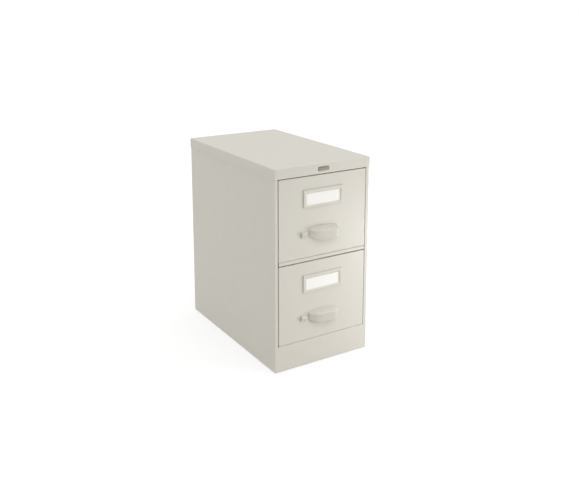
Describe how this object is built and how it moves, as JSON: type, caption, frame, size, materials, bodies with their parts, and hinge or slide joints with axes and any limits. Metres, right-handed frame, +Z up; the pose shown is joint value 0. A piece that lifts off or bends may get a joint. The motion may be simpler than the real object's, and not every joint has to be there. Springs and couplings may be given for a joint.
{
  "type": "filing cabinet",
  "caption": "Vertical filing cabinet in painted sheet steel: lipped top, drawers on telescopic slides, bow pulls with thumb latches, label frames and a bare badge plate.",
  "frame": {"origin": "middle of the base of the box round the whole cabinet, on the floor", "axes": "+Z up; the drawer fronts face -Y; +X is to the viewer's right when facing the drawers"},
  "size_m": [0.385, 0.667, 0.7081],
  "materials": {
    "case_paint": "satin",
    "inner_paint": "satin",
    "zinc_steel": "satin",
    "ball_steel": "polished",
    "spring_steel": "satin",
    "badge_metal": "satin",
    "card_paper": "matt",
    "rubber": "matt",
    "nylon": "matt"
  },
  "bodies": {
    "case": {"top_cap": "case_paint", "side_panel_left": "case_paint", "side_panel_right": "case_paint", "back_panel": "case_paint", "base_panel": "case_paint", "cross_rail": "case_paint", "top_header": "case_paint", "bottom_brace": "case_paint", "front_upright_left": "inner_paint", "front_upright_right": "inner_paint", "rear_upright_left": "inner_paint", "rear_upright_right": "inner_paint", "corner_glides": "nylon", "badge_plate": "badge_metal", "latch_keepers": "zinc_steel", "drawer_buffers": "rubber", "upper_case_slide_left": "zinc_steel", "upper_case_slide_right": "zinc_steel", "lower_case_slide_left": "zinc_steel", "lower_case_slide_right": "zinc_steel"},
    "upper_drawer": {"upper_head": "case_paint", "upper_head_liner": "inner_paint", "upper_drawer_body": "inner_paint", "upper_drawer_back": "inner_paint", "upper_drawer_slide_left": "zinc_steel", "upper_drawer_slide_right": "zinc_steel", "upper_label_holder": "case_paint", "upper_label_card": "card_paper", "upper_pull": "case_paint", "upper_pull_screws": "zinc_steel", "upper_latch_spring": "spring_steel", "upper_follower_rail": "zinc_steel"},
    "upper_mid_slides": {"upper_mid_slide_left": "zinc_steel", "upper_mid_slide_right": "zinc_steel"},
    "upper_case_cages": {"upper_case_ball_cages": "ball_steel"},
    "upper_drawer_cages": {"upper_drawer_ball_cages": "ball_steel"},
    "upper_latch": {"upper_thumb_latch": "case_paint", "upper_latch_bar": "zinc_steel"},
    "upper_follower": {"upper_follower_block": "inner_paint"},
    "upper_lever": {"upper_follower_lever": "zinc_steel"},
    "lower_drawer": {"lower_head": "case_paint", "lower_head_liner": "inner_paint", "lower_drawer_body": "inner_paint", "lower_drawer_back": "inner_paint", "lower_drawer_slide_left": "zinc_steel", "lower_drawer_slide_right": "zinc_steel", "lower_label_holder": "case_paint", "lower_label_card": "card_paper", "lower_pull": "case_paint", "lower_pull_screws": "zinc_steel", "lower_latch_spring": "spring_steel", "lower_follower_rail": "zinc_steel"},
    "lower_mid_slides": {"lower_mid_slide_left": "zinc_steel", "lower_mid_slide_right": "zinc_steel"},
    "lower_case_cages": {"lower_case_ball_cages": "ball_steel"},
    "lower_drawer_cages": {"lower_drawer_ball_cages": "ball_steel"},
    "lower_latch": {"lower_thumb_latch": "case_paint", "lower_latch_bar": "zinc_steel"},
    "lower_follower": {"lower_follower_block": "inner_paint"},
    "lower_lever": {"lower_follower_lever": "zinc_steel"}
  },
  "joints": [
    {"name": "upper_drawer_slide", "type": "slide", "parent": "case", "child": "upper_drawer", "axis": [0, -1, 0], "range_m": [0, 0.56]},
    {"name": "upper_mid_slide", "type": "slide", "parent": "case", "child": "upper_mid_slides", "axis": [0, -1, 0], "range_m": [0, 0.28]},
    {"name": "upper_case_cage_slide", "type": "slide", "parent": "case", "child": "upper_case_cages", "axis": [0, -1, 0], "range_m": [0, 0.14]},
    {"name": "upper_drawer_cage_slide", "type": "slide", "parent": "case", "child": "upper_drawer_cages", "axis": [0, -1, 0], "range_m": [0, 0.42]},
    {"name": "upper_latch_slide", "type": "slide", "parent": "upper_drawer", "child": "upper_latch", "axis": [1, 0, 0], "range_m": [-0.006, 0], "stiffness_N_per_m": 150, "springref_m": -0.012},
    {"name": "upper_follower_slide", "type": "slide", "parent": "upper_drawer", "child": "upper_follower", "axis": [0, -1, 0], "range_m": [0, 0.4]},
    {"name": "upper_lever_pivot", "type": "hinge", "parent": "upper_follower", "child": "upper_lever", "pos_m": [0, 0.2605, 0.4138], "axis": [1, 0, 0], "range_deg": [0, 12], "stiffness_Nm_per_rad": 0.35, "springref_deg": -6.88},
    {"name": "lower_drawer_slide", "type": "slide", "parent": "case", "child": "lower_drawer", "axis": [0, -1, 0], "range_m": [0, 0.56]},
    {"name": "lower_mid_slide", "type": "slide", "parent": "case", "child": "lower_mid_slides", "axis": [0, -1, 0], "range_m": [0, 0.28]},
    {"name": "lower_case_cage_slide", "type": "slide", "parent": "case", "child": "lower_case_cages", "axis": [0, -1, 0], "range_m": [0, 0.14]},
    {"name": "lower_drawer_cage_slide", "type": "slide", "parent": "case", "child": "lower_drawer_cages", "axis": [0, -1, 0], "range_m": [0, 0.42]},
    {"name": "lower_latch_slide", "type": "slide", "parent": "lower_drawer", "child": "lower_latch", "axis": [1, 0, 0], "range_m": [-0.006, 0], "stiffness_N_per_m": 150, "springref_m": -0.012},
    {"name": "lower_follower_slide", "type": "slide", "parent": "lower_drawer", "child": "lower_follower", "axis": [0, -1, 0], "range_m": [0, 0.4]},
    {"name": "lower_lever_pivot", "type": "hinge", "parent": "lower_follower", "child": "lower_lever", "pos_m": [0, 0.2605, 0.1175], "axis": [1, 0, 0], "range_deg": [0, 12], "stiffness_Nm_per_rad": 0.35, "springref_deg": -6.88}
  ],
  "couplings": [
    {"joint": "upper_mid_slide", "follows": "upper_drawer_slide", "ratio": 0.5},
    {"joint": "upper_case_cage_slide", "follows": "upper_drawer_slide", "ratio": 0.25},
    {"joint": "upper_drawer_cage_slide", "follows": "upper_drawer_slide", "ratio": 0.75},
    {"joint": "lower_mid_slide", "follows": "lower_drawer_slide", "ratio": 0.5},
    {"joint": "lower_case_cage_slide", "follows": "lower_drawer_slide", "ratio": 0.25},
    {"joint": "lower_drawer_cage_slide", "follows": "lower_drawer_slide", "ratio": 0.75}
  ]
}
